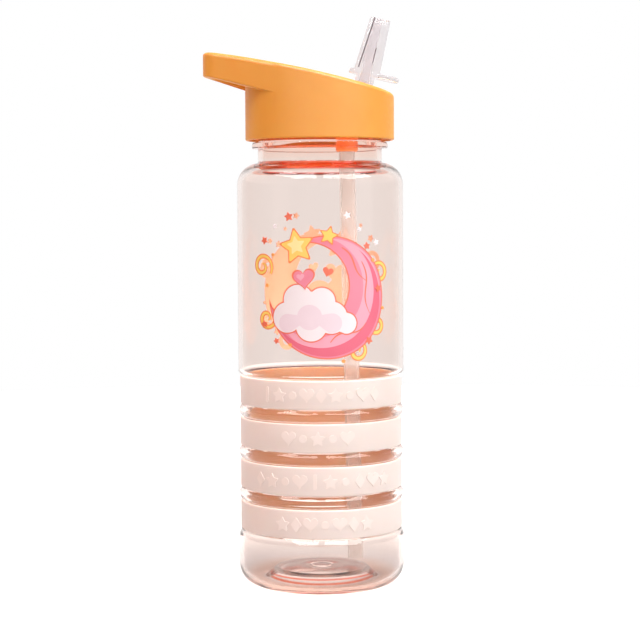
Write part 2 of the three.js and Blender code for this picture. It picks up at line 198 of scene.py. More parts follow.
def prism(outline, rows, place=Vector):
    """A closed solid from an outline and its rows of (outward offset, height). place maps a point."""
    bm = bmesh.new()
    rings = []
    for distance, height in rows:
        moved = offset_outline(outline, distance) if distance else outline
        rings.append([bm.verts.new(place(Vector((p.x, p.y, height)))) for p in moved])
    return skinned(bm, rings)


def rim_rows(bottom, top, bottom_round, top_round):
    """Rows of a prism whose outer edges are rounded."""
    turns = [math.pi / 2 * k / EDGE_STEPS for k in range(EDGE_STEPS + 1)]
    rows = [(bottom_round * (math.sin(t) - 1), bottom + bottom_round * (1 - math.cos(t))) for t in turns]
    return rows + [(top_round * (math.cos(t) - 1), top - top_round * (1 - math.sin(t))) for t in turns]


def flared_rows(bottom, face, flare, beyond):
    """Rows of a cutter that leaves a rounded edge where it comes out of a face."""
    rows = [(0, bottom)]
    for k in range(FLARE_STEPS + 1):
        depth = flare * (1 - k / FLARE_STEPS)
        widening = flare - math.sqrt(max(0, flare ** 2 - (flare - depth) ** 2))
        rows.append((widening, face - depth))
    rows.append((flare, face + beyond))
    return rows


def sloped(point):
    """Puts a point whose height is measured from the lid's sloping top in its place."""
    return Vector((point.x, point.y, point.z + TOP_AT_AXIS - point.x * SLOPE))


def polar(centre, radius, angle):
    return Vector((centre[0] + radius * math.cos(angle), centre[1] + radius * math.sin(angle)))


def circle_outline(radius, sides=SIDES, centre=(0, 0)):
    return [polar(centre, radius, 2 * math.pi / sides * k) for k in range(sides)]


def arc(centre, radius, start, end, steps):
    return [polar(centre, radius, start + (end - start) * k / steps) for k in range(steps + 1)]


def half_round(centre_x, radius, side, steps):
    """Half a circle about a point on the X axis; side 0 bulges to the right, side 1 to the left."""
    start = (side - 0.5) * math.pi
    return arc((centre_x, 0), radius, start, start + math.pi, steps)


def box_outline(left, right, half_width, corner):
    return rounded([(left, -half_width, corner), (right, -half_width, corner),
                    (right, half_width, corner), (left, half_width, corner)])


def boolean(base, tool, operation):
    """Joins or cuts one bmesh with another, through a temporary pair of objects."""
    objects = [bare_object("work", bm) for bm in (base, tool)]
    modifier = objects[0].modifiers.new("cut", "BOOLEAN")
    modifier.operation = operation
    modifier.solver = "EXACT"
    modifier.object = objects[1]
    graph = bpy.context.evaluated_depsgraph_get()
    result = bmesh.new()
    result.from_mesh(objects[0].evaluated_get(graph).to_mesh())
    for work in objects:
        mesh = work.data
        bpy.data.objects.remove(work)
        bpy.data.meshes.remove(mesh)
    bmesh.ops.remove_doubles(result, verts=result.verts, dist=1e-4)
    return result


def joined(base, *tools):
    for tool in tools:
        base = boolean(base, tool, "UNION")
    return base


def cut(base, *tools):
    for tool in tools:
        base = boolean(base, tool, "DIFFERENCE")
    return base


def turned_solid(corners, sides, closed=False, place=Matrix.Identity(4)):
    bm = bmesh.new()
    turned(bm, rounded(corners), sides, closed, place=place)
    return bm


def tube(inner, outer, bottom, top, edges, sides, place=Matrix.Identity(4)):
    """A ring or a tube, with the rounding of its inner and its outer edges."""
    low = [(inner, bottom, edges[0]), (outer, bottom, edges[1])]
    high = [(outer, top, edges[1]), (inner, top, edges[0])]
    return turned_solid(low + high, sides, True, place)


def cylinder(radius, low, high, place, sides=48, edge=0.0):
    corners = [(0, low), (radius, low, edge), (radius, high, edge), (0, high)]
    return turned_solid(corners, sides, place=place)


# ---------- materials ----------

def srgb(red, green, blue):
    """A colour given as 0 to 255, as the linear one that shaders use."""
    def linear(value):
        value /= 255
        return value / 12.92 if value <= 0.04045 else ((value + 0.055) / 1.055) ** 2.4
    return (linear(red), linear(green), linear(blue), 1)


def set_inputs(tree, node, values):
    """Gives a node's inputs plain values, or links them to other nodes' outputs."""
    for name, value in values.items():
        if isinstance(value, bpy.types.NodeSocket):
            tree.links.new(value, node.inputs[name])
        else:
            node.inputs[name].default_value = value


def add_node(tree, kind, values):
    node = tree.nodes.new("ShaderNode" + kind)
    set_inputs(tree, node, values)
    return node


def new_material(name):
    material = bpy.data.materials.new(name)
    material.use_nodes = True
    tree = material.node_tree
    return material, tree, tree.nodes["Principled BSDF"]


def coordinates(tree, output="Object"):
    """Places in the frame; in the world, Generated gives directions."""
    return tree.nodes.new("ShaderNodeTexCoord").outputs[output]


def add_noise(tree, scale, detail=2.0):
    """A noise texture over the frame's own coordinates; scale is in patterns per metre."""
    values = {"Vector": coordinates(tree), "Scale": scale, "Detail": detail}
    return add_node(tree, "TexNoise", values).outputs["Fac"]


def add_math(tree, operation, *values):
    node = tree.nodes.new("ShaderNodeMath")
    node.operation = operation
    set_inputs(tree, node, dict(enumerate(values)))
    return node.outputs[0]


def add_mix(tree, factor, a, b):
    """A colour between a and b, which are colours or sockets."""
    node = tree.nodes.new("ShaderNodeMix")
    node.data_type = "RGBA"
    set_inputs(tree, node, {MIX_FACTOR: factor, MIX_A: a, MIX_B: b})
    return node.outputs[MIX_RESULT]


def add_range(tree, value, low, high, to_low=0, to_high=1):
    """A smooth change from to_low to to_high, while a value grows from low to high."""
    node = tree.nodes.new("ShaderNodeMapRange")
    node.interpolation_type = "SMOOTHSTEP"
    ends = {"From Min": low, "From Max": high, "To Min": to_low, "To Max": to_high}
    set_inputs(tree, node, ends | {"Value": value})
    return node.outputs["Result"]


def add_bump(tree, shader, height, distance, strength=1.0):
    bump = add_node(tree, "Bump", {"Height": height, "Distance": distance, "Strength": strength})
    tree.links.new(bump.outputs["Normal"], shader.inputs["Normal"])


def rises(tree, value, start, full, top=1):
    """0 below start and top above full, which are in millimetres."""
    return add_range(tree, value, start * MM, full * MM, 0, top)


def falls(tree, value, last, end):
    return add_range(tree, value, last * MM, end * MM, 1, 0)


def product(tree, a, b):
    return add_math(tree, "MULTIPLY", a, b)


def within(tree, value, start, full, last, end):
    """1 between two values and 0 outside them, with soft ends."""
    return product(tree, rises(tree, value, start, full), falls(tree, value, last, end))


def glass(name, colour, roughness, ior, shadow, transmission=1.0):
    """A clear plastic with faint ripples, which casts only a light shadow of a given tint."""
    material, tree, shader = new_material(name)
    set_inputs(tree, shader, {
        "Base Color": colour,
        "Transmission Weight": transmission,
        "Roughness": roughness,
        "IOR": ior,
    })
    add_bump(tree, shader, add_noise(tree, RIPPLES, 1.0), RIPPLE_DEPTH)
    mix = add_node(tree, "MixShader", {
        "Fac": tree.nodes.new("ShaderNodeLightPath").outputs["Is Shadow Ray"],
        1: shader.outputs["BSDF"],
        2: add_node(tree, "BsdfTransparent", {"Color": shadow}).outputs["BSDF"],
    })
    set_inputs(tree, tree.nodes["Material Output"], {"Surface": mix.outputs["Shader"]})
    return material, tree, shader


def bottle_glass():
    """Clear copolyester, faintly tinted; the tint deepens where the plastic is thick. Colour painted by
    position also stands in for light and shade: painted shade over the base and along its outer foot, a
    painted lighter dome, and a painted coral glow of light caught inside the wall at the neck's root and the
    punt's ring, over the deeper colour of the thick plastic there.
    """
    material, tree, shader = glass("bottle_glass", WALL_TINT, 0.04, 1.27, srgb(253, 249, 248))
    x, y, height = add_node(tree, "SeparateXYZ", {"Vector": coordinates(tree)}).outputs
    x = add_math(tree, "SUBTRACT", x, AXIS_X)
    radius = add_math(tree, "SQRT", add_math(tree, "ADD", product(tree, x, x), product(tree, y, y)))
    root = product(tree, within(tree, height, *ROOT_HEIGHTS), falls(tree, radius, *ROOT_RADII))
    ring = product(tree, within(tree, radius, *RING_RADII), falls(tree, height, *RING_HEIGHTS))
    neck = rises(tree, height, *NECK_HEIGHTS, NECK_SHARE)
    flange = within(tree, height, *FLANGE_HEIGHTS)
    edge = product(tree, falls(tree, height, *EDGE_HEIGHTS), rises(tree, radius, *EDGE_RADII))
    dome = product(tree, falls(tree, height, *DOME_HEIGHTS), falls(tree, radius, *DOME_RADII))
    colour = WALL_TINT
    # painted shade over the base and its foot, painted light on the dome, and a painted glow at the neck's
    # root and the punt's ring
    for where, tint in (
            (falls(tree, height, *BASE_HEIGHTS), BASE_PAINTED_SHADE),
            (edge, FOOT_PAINTED_SHADE),
            (dome, DOME_PAINTED_LIGHT),
            (add_math(tree, "MAXIMUM", neck, flange), NECK_TINT),
            (add_math(tree, "MAXIMUM", root, ring), DEEP_TINT_AND_PAINTED_GLOW)):
        colour = add_mix(tree, where, colour, tint)
    tree.links.new(colour, shader.inputs["Base Color"])
    volume = add_node(tree, "VolumeAbsorption", {"Color": DEPTH_TINT, "Density": DEPTH_DENSITY})
    set_inputs(tree, tree.nodes["Material Output"], {"Volume": volume.outputs["Volume"]})
    return material


def mottled(name, colour, other, roughness=0.55, grain=3000, depth=0.00001, more=None):
    """An opaque moulded material: slow changes of colour and a fine surface grain."""
    material, tree, shader = new_material(name)
    patches = add_range(tree, add_noise(tree, PATCHES, 3.0), *NOISE_SPREAD)
    rough = add_range(tree, add_noise(tree, grain / 3), *NOISE_SPREAD, roughness - 0.04, roughness + 0.05)
    set_inputs(tree, shader, {"Base Color": add_mix(tree, patches, colour, other), "Roughness": rough})
    set_inputs(tree, shader, more or {})
    add_bump(tree, shader, add_noise(tree, grain, 2.0), depth, 0.6)
    return material


def subsurface(weight, radius, scale):
    return {"Subsurface Weight": weight, "Subsurface Radius": radius, "Subsurface Scale": scale}


def ink(name, colour):
    lighter = tuple(min(255, c + 6) for c in colour)
    return mottled("ink_" + name, srgb(*colour), srgb(*lighter), 0.35, 4000, 0.000004)


WALL_TINT = srgb(246, 240, 237)
# painted shade: the base is drawn darker and greyer than the wall
BASE_PAINTED_SHADE = srgb(213, 208, 206)
# painted shade along the outer foot of the base
FOOT_PAINTED_SHADE = srgb(212, 190, 178)
# painted light: the punt's dome is drawn lighter than the wall, against the shade under the bottle
DOME_PAINTED_LIGHT = (1, 0.98, 0.96, 1)
NECK_TINT = srgb(250, 234, 226)
# partly the deeper colour of thick plastic, partly a painted coral glow of light caught inside the wall
DEEP_TINT_AND_PAINTED_GLOW = srgb(216, 67, 27)
DEPTH_TINT = (0.94, 0.66, 0.56, 1)
DEPTH_DENSITY = 34  # per metre of plastic

# where a tint, a painted shade or a painted light sets in and ends, in millimetres: heights, and radii from
# the bottle's axis
ROOT_HEIGHTS = (183.1, 183.5, 185.3, 185.8)
ROOT_RADII = (30.6, 31.6)
RING_RADII = (22.0, 22.5, 22.9, 23.4)
RING_HEIGHTS = (4.6, 6.0)
BASE_HEIGHTS = (8, 26)
NECK_HEIGHTS = (186.5, 188)
NECK_SHARE = 0.6
FLANGE_HEIGHTS = (191.0, 191.6, 194.0, 194.8)
EDGE_HEIGHTS = (1, 6)
EDGE_RADII = (24, 28)
DOME_HEIGHTS = (9, 11)
DOME_RADII = (21, 22.5)

RIPPLES = 90  # per metre
RIPPLE_DEPTH = 0.00002
PATCHES = 40  # per metre
NOISE_SPREAD = (0.3, 0.7)  # most values of a noise
CLOUDY = 0.88  # how much of the light a cloudy plastic lets through
MIX_FACTOR, MIX_A, MIX_B, MIX_RESULT = 0, 6, 7, 2  # places of a colour mix's sockets

BOTTLE_GLASS = bottle_glass()
CLEAR_PLASTIC = glass("clear_plastic", srgb(224, 221, 223), 0.1, 1.2, srgb(245, 243, 244), CLOUDY)[0]
ORANGE = mottled("lid_orange", srgb(227, 152, 46), srgb(229, 157, 53), 0.48, 2200, 0.00002,
                 subsurface(0.25, (1.0, 0.3, 0.08), 0.003) | {"Specular IOR Level": 0.35})
# the inner cap's own deeper orange, painted brighter to stand in for light coming through the translucent
# plastic into the bottle
INNER_ORANGE = mottled("inner_cap_orange", srgb(252, 140, 58), srgb(250, 132, 50), 0.45)
BAND = mottled("band_silicone", srgb(227, 213, 206), srgb(228, 216, 210), 0.55, 3000, 0.00002,
               subsurface(0.2, (1.0, 0.5, 0.3), 0.002) | {"Sheen Weight": 0.15})
# the bands seen from within the bottle: light comes through the silicone. This copy of the silicone has a
# painted colour that stands in for that light, besides some real subsurface
BAND_INSIDE = mottled("band_inside", srgb(172, 142, 104), srgb(176, 147, 110), 0.6, 3000, 0.00001,
                      subsurface(0.85, (1.0, 0.5, 0.25), 0.008))
BAND_SHAPES = mottled("band_shapes", srgb(236, 223, 217), srgb(235, 221, 214))
SILICONE = mottled("seal_silicone", srgb(238, 236, 232), srgb(232, 230, 226), 0.6, 2500, 0.00002)
STRAW_PLASTIC = glass("straw_plastic", srgb(239, 235, 232), 0.25, 1.17, srgb(246, 238, 234), CLOUDY)[0]
# painted shade: the slits' walls are dark, standing in for the shade inside them
SLIT_SHADE = mottled("slit_shade", srgb(120, 104, 112), srgb(128, 112, 120))
# painted light: the inks' undersides, seen through the bottle, are one light peach that stands in for light
# coming through the thin ink
INK_BACK = mottled("ink_underside", srgb(255, 206, 172), srgb(253, 198, 162))


# ---------- bottle body ----------

BASE_ROUND = 8.5
RING_INNER_RADIUS = 24
PUNT_RADIUS = 20.2
PUNT_HEIGHT = 5.4
BASE_WALL = 2.4
DOME_WALL = 2.0
WALL = 1.8
SHOULDER_HEIGHT = 185.4
SHOULDER_ROUND = 9.5
NECK_RADIUS = 27.2
NECK_WALL = 1.9
FLANGE_RADIUS = 29.8
FLANGE_BOTTOM = 191.7
FLANGE_TOP = 194.3
BANDS = ["band_bottom", "band_lower", "band_upper", "band_top"]
BAND_RADIUS = (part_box("band_top")[1].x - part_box("band_top")[0].x) / 2 / MM
BAND_THICKNESS = 1.6
GROOVE_RADIUS = BAND_RADIUS - BAND_THICKNESS - 0.2
RIB_RADIUS = 36.3
GATE_RADIUS = 4.2
THREAD_PITCH = 3.0
THREAD_TURNS = 1.25
NECK_THREAD_START = 196.9
LID_THREAD_START = 197.9
THREAD_HALF_WIDTH = 1.15
THREAD_CREST = 0.95
THREAD_STEP = 0.25  # longest stretch of an outline that carries a thread


BAND_HEIGHTS = [[corner.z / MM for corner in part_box(name)] for name in BANDS]


def thread_height(height, angle, start):
    """How far a helical bead stands out of a wall, at a height and an angle in radians."""
    turns = angle / (2 * math.pi)
    best = 0
    for along in (turns, turns + 1):
        if along > THREAD_TURNS:
            continue
        off = abs(height - start - THREAD_PITCH * along) / THREAD_HALF_WIDTH
        ends = min(1, along / 0.05, (THREAD_TURNS - along) / 0.05)
        if off < 1:
            best = max(best, THREAD_CREST * max(0, ends) * math.sqrt(1 - off ** 2))
    return best


def fine_outline(points, is_threaded, longest):
    """An outline in short stretches where it carries a thread, and in longer ones elsewhere."""
    fine = []
    for a, b in zip(points, points[1:]):
        fine += split_long([a, b], THREAD_STEP if is_threaded(a, b) else longest)[:-1]
    return fine + [points[-1]]


def bottle_outside():
    first_low, _ = BAND_HEIGHTS[0]
    corners = [
        (0, PUNT_HEIGHT + 0.8),
        (GATE_RADIUS, PUNT_HEIGHT + 0.75, 0.3),
        (GATE_RADIUS + 0.3, PUNT_HEIGHT + 0.45, 0.15),
        (GATE_RADIUS + 0.9, PUNT_HEIGHT + 0.75, 0.3),
        (PUNT_RADIUS, PUNT_HEIGHT, 1.8),
        (RING_INNER_RADIUS, 0, 1.2),
        (BODY_RADIUS, 0, BASE_ROUND),
        (BODY_RADIUS, first_low - 2.9, 2.4),
        (BODY_RADIUS - 1.0, first_low - 0.5, 0.4),
    ]
    for (low, high), (next_low, _) in zip(BAND_HEIGHTS, BAND_HEIGHTS[1:]):
        corners += [
            (GROOVE_RADIUS, low - 0.2, 0.25),
            (GROOVE_RADIUS, high + 0.2, 0.4),
            (RIB_RADIUS, high + 0.2, 2.4),
            (RIB_RADIUS, next_low - 2.0, 1.35),
            (RIB_RADIUS - 1.0, next_low - 0.4, 0.3),
        ]
    low, high = BAND_HEIGHTS[-1]
    corners += [
        (GROOVE_RADIUS, low - 0.2, 0.25),
        (GROOVE_RADIUS, high + 0.2, 0.25),
        (BODY_RADIUS, high + 0.2, 2.1),
        (BODY_RADIUS, SHOULDER_HEIGHT, SHOULDER_ROUND),
        (NECK_RADIUS, SHOULDER_HEIGHT, 0.6),
        (NECK_RADIUS, FLANGE_BOTTOM, 0.4),
        (FLANGE_RADIUS, FLANGE_BOTTOM, 0.7),
        (FLANGE_RADIUS, FLANGE_TOP, 0.7),
        (NECK_RADIUS, FLANGE_TOP, 0.4),
        (NECK_RADIUS, MOUTH_HEIGHT, 0.6),
    ]
    return corners


def bottle_inside():
    """The inner wall follows the grooves and ribs gently, as blown plastic does."""
    inside = BODY_RADIUS - WALL
    groove = GROOVE_RADIUS - 1.7
    mouth = NECK_RADIUS - NECK_WALL
    shoulder = SHOULDER_HEIGHT - WALL
    heights = BAND_HEIGHTS[::-1]
    _, bands_top = heights[0]
    bands_low, _ = heights[-1]
    corners = [
        (mouth, MOUTH_HEIGHT, 0.6),
        (mouth, shoulder - 0.6, 0.5),
        (inside, shoulder - 0.6, SHOULDER_ROUND - WALL - 0.6),
        (inside, bands_top + 2.2, 2.0),
        (groove, bands_top - 0.9, 2.0),
    ]
    for (upper_low, _), (_, lower_high) in zip(heights, heights[1:]):
        middle = (upper_low + lower_high) / 2
        corners += [
            (groove, upper_low + 0.6, 1.5),
            (groove + 1.5, middle + 1.0, 1.5),
            (groove + 1.5, middle - 1.0, 1.5),
            (groove, lower_high - 0.6, 1.5),
        ]
    corners += [
        (groove, bands_low + 0.9, 2.0),
        (inside, bands_low - 2.2, 2.0),
        (inside, BASE_WALL, BASE_ROUND - WALL),
        (RING_INNER_RADIUS + 1.2, BASE_WALL, 1.5),
        (PUNT_RADIUS, PUNT_HEIGHT + DOME_WALL - 0.4, 3.6),
        (0, PUNT_HEIGHT + DOME_WALL + 0.8),
    ]
    return corners


def make_bottle():
    def with_thread(radius, height, angle):
        if abs(radius - NECK_RADIUS) > 0.01 or height < FLANGE_TOP + 0.5:
            return radius
        return radius + thread_height(height, angle, NECK_THREAD_START)

    def is_threaded(a, b):
        return min(a.y, b.y) > FLANGE_TOP - 0.1 and min(a.x, b.x) > NECK_RADIUS - 0.05

    outline = rounded(bottle_outside() + bottle_inside())
    bm = bmesh.new()
    turned(bm, fine_outline(outline, is_threaded, 9), shape=with_thread)
    piece = new_object("bottle_glass", bm, [BOTTLE_GLASS])
    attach(piece, "bottle")
    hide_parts("bottle_body")


make_bottle()


# ---------- bands ----------

def star_outline(radius, centre=(0, 0), turn=0):
    result = []
    for k in range(2 * STAR_POINTS):
        reach = radius if k % 2 == 0 else radius * STAR_WAIST
        angle = math.pi / 2 + turn + math.pi * k / STAR_POINTS
        result.append((*polar(centre, reach, angle), 0.07 * radius))
    return rounded(result, 0.8)


def heart_outline(size, centre=(0, 0), turn=0):
    result = []
    for k in range(40):
        t = 2 * math.pi * (k + 0.5) / 40
        x = 16 * math.sin(t) ** 3
        y = 13 * math.cos(t) - 5 * math.cos(2 * t) - 2 * math.cos(3 * t) - math.cos(4 * t) + 2.5
        point = Matrix.Rotation(turn, 2) @ Vector((x, y)) * (size / 16)
        result.append(point + Vector(centre))
    return result[::-1]


def wrapped(bm, outline, inside, outside, radius, place, outer_material, inner_material):
    """Adds a thin closed solid: a flat outline bent round the bottle. place is its (angle, height)."""
    flat = bmesh.new()
    flat.faces.new([flat.verts.new((p.x, p.y, 0)) for p in outline])
    flat.normal_update()
    bmesh.ops.triangulate(flat, faces=flat.faces)
    across = [p.x / WRAP_STEP for p in outline]
    for k in range(math.ceil(min(across)), math.floor(max(across)) + 1):
        geometry = flat.verts[:] + flat.edges[:] + flat.faces[:]
        cut_at = (k * WRAP_STEP, 0, 0)
        bmesh.ops.bisect_plane(flat, geom=geometry, dist=1e-5, plane_co=cut_at, plane_no=(1, 0, 0))
    bmesh.ops.remove_doubles(flat, verts=flat.verts, dist=1e-4)
    flat.normal_update()
    flat.verts.index_update()
    layers = []
    for level in (inside, outside):
        layer = []
        for vert in flat.verts:
            angle = place[0] + vert.co.x / radius
            r = radius + level
            layer.append(bm.verts.new((r * math.sin(angle), -r * math.cos(angle), place[1] + vert.co.y)))
        layers.append(layer)
    low, high = layers
    for face in flat.faces:
        corners = [vert.index for vert in face.verts]
        if face.normal.z < 0:
            corners.reverse()
        bm.faces.new([high[i] for i in corners]).material_index = outer_material
        bm.faces.new([low[i] for i in corners[::-1]]).material_index = inner_material
    for edge in flat.edges:
        if len(edge.link_faces) == 1:
            a, b = (vert.index for vert in edge.verts)
            bm.faces.new((low[a], low[b], high[b], high[a])).material_index = outer_material
    flat.free()


STAR_POINTS = 5
STAR_WAIST = 0.5  # of the star's radius
WRAP_STEP = 1.2
BAND_SHAPE_SIZE = 3.3  # half of a shape's height
BAND_SKIN = 0.35  # how deep a band shows its outer colour


def band_shape(kind):
    size = BAND_SHAPE_SIZE
    if kind == "star":
        return star_outline(size * 1.08, (0, -0.15))
    if kind == "heart":
        return heart_outline(size)
    if kind == "diamond":
        width = size * 0.72
        return rounded([(width, 0, 0.4), (0, size, 0.4), (-width, 0, 0.4), (0, -size, 0.4)])
    if kind == "dot":
        return circle_outline(size * 0.5, 28)
    return box_outline(-0.7, 0.7, size, 0.6)


def make_band(name, shapes, pitch, middle):
    """A band with raised shapes a pitch apart; middle is measured along its surface."""
    low, high = BAND_HEIGHTS[BANDS.index(name)]
    inner = BAND_RADIUS - BAND_THICKNESS
    split = inner + BAND_SKIN
    bm = turned_solid([
        (split, low),
        (BAND_RADIUS, low, 0.5),
        (BAND_RADIUS, high, 0.5),
        (split, high),
        (inner, high, 0.3),
        (inner, low, 0.3),
    ], 192, closed=True)
    # the inner faces take the copy with the painted glow of light through the silicone
    for face in bm.faces:
        centre = face.calc_center_median()
        if math.hypot(centre.x, centre.y) < split - 0.01:
            face.material_index = 1
    for i, kind in enumerate(shapes):
        angle = (middle + (i - (len(shapes) - 1) / 2) * pitch) / BAND_RADIUS
        wrapped(bm, band_shape(kind), -0.2, 0.28, BAND_RADIUS, (angle, (low + high) / 2), 2, 2)
    piece = new_object(name + "_silicone", bm, [BAND, BAND_INSIDE, BAND_SHAPES])
    bevel = piece.modifiers.new("edge", "BEVEL")
    bevel.width = 0.00012
    bevel.segments = 2
    bevel.limit_method = "ANGLE"
    bevel.angle_limit = math.radians(60)
    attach(piece, "bottle")
    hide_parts(name)


make_band("band_top", ["bar"] + ["star", "dot", "heart", "diamond"] * 2, 6.2, 0.0)
make_band("band_upper", ["heart", "dot", "star", "dot", "heart"], 6.4, -1.5)
make_band("band_lower", ["diamond", "star", "dot", "heart", "bar", "star", "dot", "diamond", "heart", "star"],
          6.6, 0.5)
make_band("band_bottom", ["star", "diamond", "heart", "dot", "heart", "diamond", "star"], 6.3, 1.5)


# ---------- lid ----------

CAP_RADIUS = 32.6
CAP_WALL = 1.6
CAP_BOTTOM = 195.3
TOP_WALL = 2.0
LOOP_REACH = 51.0
LOOP_TIP_RADIUS = 12.0
LOOP_TIP_HEIGHT = 10.6
LOOP_DEEPENING = 0.0074  # growth of the loop's height towards the cap, per millimetre
LOOP_DROOP = 1.0
LOOP_THICKNESS = 4.6
SPOUT_FOOT_X = 19.04
PIVOT_DEPTH = 2.2
TROUGH_LEFT = -15.0
TROUGH_RIGHT = 23.9
TROUGH_HALF_WIDTH = 7.0
TROUGH_DEPTH = 7.9
TROUGH_WALL = 1.5
TROUGH_SIDE_WALL = 1.8
POCKET_LEFT = 5.4
POCKET_RIGHT = 10.6
POCKET_FLOOR = 209.8
POCKET_WALL = 1.1
KNUCKLE_RADIUS = 3.4
KNUCKLE_END = 9.2
PIN_RADIUS = 1.6
SEAL_RADIUS = 3.6
LEVEL = 150.0  # prism heights above this are from the resting plane, the others from the lid's top
CLEARANCE = 0.3
LOOP_TIP_X = LOOP_TIP_RADIUS - LOOP_REACH
LOOP_TURN = math.pi - math.acos((CAP_RADIUS - LOOP_TIP_RADIUS) / -LOOP_TIP_X)  # where the arms touch the cap

PIVOT = Vector((
    SPOUT_FOOT_X - PIVOT_DEPTH * math.sin(LEAN), 0,
    TOP_AT_AXIS - SPOUT_FOOT_X * SLOPE - PIVOT_DEPTH * math.cos(LEAN)))
AT_PIVOT = Matrix.Translation(PIVOT) @ Matrix.Rotation(LEAN, 4, "Y")
ALONG_PINS = AT_PIVOT @ Matrix.Rotation(-math.pi / 2, 4, "X")


def across_pivot(radius, half_length, sides=48, edge=0.0):
    return cylinder(radius, -half_length, half_length, ALONG_PINS, sides, edge)


def on_loop(point):
    """Heights grow from the loop's tip, whose last part droops a little."""
    droop = LOOP_DROOP * max(0, (-25 - point.x) / (LOOP_REACH - 25)) ** 2
    depth = point.z * (1 + LOOP_DEEPENING * (point.x + LOOP_REACH))
    return Vector((point.x, point.y, depth + TOP_AT_AXIS - point.x * SLOPE - droop))


def on_lid(point):
    return Vector(point) if point.z > LEVEL else sloped(point)


def lid_outline():
    """The round cap and the loop's round tip, with straight arms between them."""
    big = arc((0, 0), CAP_RADIUS, -LOOP_TURN, LOOP_TURN, 120)
    small = arc((LOOP_TIP_X, 0), LOOP_TIP_RADIUS, LOOP_TURN, 2 * math.pi - LOOP_TURN, 40)
    there = split_long([big[-1], small[0]], 4)
    back = split_long([small[-1], big[0]], 4)
    return big[:-1] + there[:-1] + small[:-1] + back[:-1]


def finger_hole_outline():
    """Between the arms of the loop and the round wall of the cap."""
    big = CAP_RADIUS - LOOP_THICKNESS
    tip = arc((LOOP_TIP_X, 0), LOOP_TIP_RADIUS - LOOP_THICKNESS, LOOP_TURN, 2 * math.pi - LOOP_TURN, 30)
    edge = CAP_RADIUS + 0.02
    normal = polar((0, 0), 1, LOOP_TURN)
    along = Vector((normal.y, -normal.x))
    meeting = normal * big - along * math.sqrt(edge ** 2 - big ** 2)
    angle = math.atan2(meeting.y, meeting.x)
    side = arc((0, 0), edge, -angle, angle - 2 * math.pi, 40)
    side = side[:1] + side[5:-5] + side[-1:]
    corners = [(p.x, p.y) for p in tip + side]
    corners[len(tip)] += (1.1,)
    corners[-1] += (1.1,)
    return rounded(corners)


def make_cap():
    lip = ((-0.7, 0), (-0.3, 0.08), (-0.08, 0.3), (0, 0.7))
    wall_rows = [(inset, CAP_BOTTOM + rise) for inset, rise in lip]
    wall_rows += rim_rows(-10, 0, 0, 1.6)[EDGE_STEPS + 1:]
    cap = prism(circle_outline(CAP_RADIUS), wall_rows, on_lid)
    loop = prism(lid_outline(), rim_rows(-LOOP_TIP_HEIGHT, 0, 0.5, 1.9), on_loop)
    flare = flared_rows(-3, 0, 1.2, 3)[1:]
    hole_rows = [(distance, -LOOP_TIP_HEIGHT - height) for distance, height in flare[::-1]] + flare
    loop = cut(loop, prism(finger_hole_outline(), hole_rows, on_loop))
    cavity_rows = [
        (0.4, CAP_BOTTOM - 2),
        (0.4, CAP_BOTTOM),
        (0, CAP_BOTTOM + 0.5),
        (0, -TOP_WALL - 1),
        (-1, -TOP_WALL),
    ]
    cap = cut(joined(cap, loop), prism(circle_outline(CAP_RADIUS - CAP_WALL), cavity_rows, on_lid))
    half_width = TROUGH_HALF_WIDTH + TROUGH_SIDE_WALL
    trough_walls = box_outline(TROUGH_LEFT - TROUGH_WALL, TROUGH_RIGHT + TROUGH_WALL, half_width, 1.5)
    pocket_walls = box_outline(POCKET_LEFT - TROUGH_WALL, POCKET_RIGHT + TROUGH_WALL, half_width, 1.0)
    pocket_top = TOP_AT_AXIS - POCKET_RIGHT * SLOPE - TOP_WALL
    cap = joined(
        cap,
        prism(trough_walls, [(0, -TROUGH_DEPTH - TROUGH_WALL), (0, -1)], sloped),
        prism(pocket_walls, [(0, POCKET_FLOOR - POCKET_WALL), (0, pocket_top)]),
        across_pivot(KNUCKLE_RADIUS, KNUCKLE_END, 48, 0.4))
    trough_rows = [(-0.8, -TROUGH_DEPTH), (-0.25, -TROUGH_DEPTH + 0.2), (0, -TROUGH_DEPTH + 0.8)]
    trough_rows += flared_rows(-TROUGH_DEPTH, 0, 0.9, 6)[1:]
    pocket = box_outline(POCKET_LEFT, POCKET_RIGHT, TROUGH_HALF_WIDTH - 0.01, 0.8)
    cap = cut(
        cap,
        prism(box_outline(TROUGH_LEFT, TROUGH_RIGHT, TROUGH_HALF_WIDTH, 2.0), trough_rows, sloped),
        prism(pocket, [(0, POCKET_FLOOR), (0, pocket_top - 2)]),
        across_pivot(PIN_RADIUS + CLEARANCE, KNUCKLE_END + 1),
        cylinder(SEAL_RADIUS + CLEARANCE, -16.6, 0, AT_PIVOT))
    piece = new_object("cap_moulding", cap, [ORANGE], 40)
    smooth = piece.modifiers.new("normals", "WEIGHTED_NORMAL")
    smooth.keep_sharp = True
    smooth.weight = 80
    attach(piece, "lid")
    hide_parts("cap_shell")


make_cap()


# ---------- inner cap, seals and straw ----------

SKIRT_OUTER_RADIUS = 30.7
SKIRT_INNER_RADIUS = 29.5
SKIRT_BOTTOM = 196.2
PLATE_BOTTOM = 205.1
PLATE_TOP = 206.9
PLUG_INNER_RADIUS = 23.6
PLUG_OUTER_RADIUS = 24.8
PLUG_BOTTOM = 201.6
SOCKET_RADIUS = 4.85
SOCKET_BOTTOM = 190.6
STRAW_X = 11.9
STRAW_Z = 189.0
STRAW_LEAN = math.radians(1.02)
STRAW_RADIUS = 3.5
STRAW_BORE_RADIUS = 2.7
STRAW_TOP = 203.0
STRAW_BOTTOM = 10.5
STRAW_PLACE = Matrix.Translation((STRAW_X, 0, STRAW_Z)) @ Matrix.Rotation(-STRAW_LEAN, 4, "Y")
GASKET_INNER_RADIUS = 25.1
GASKET_OUTER_RADIUS = 28.9
VENT_X = -13.0
THROAT_RADIUS = 2.0
VENT_HOLES = ((0, 1.5), (2.6, 0.6), (-2.6, 0.6))  # place across and radius: the plug's stem and two air holes


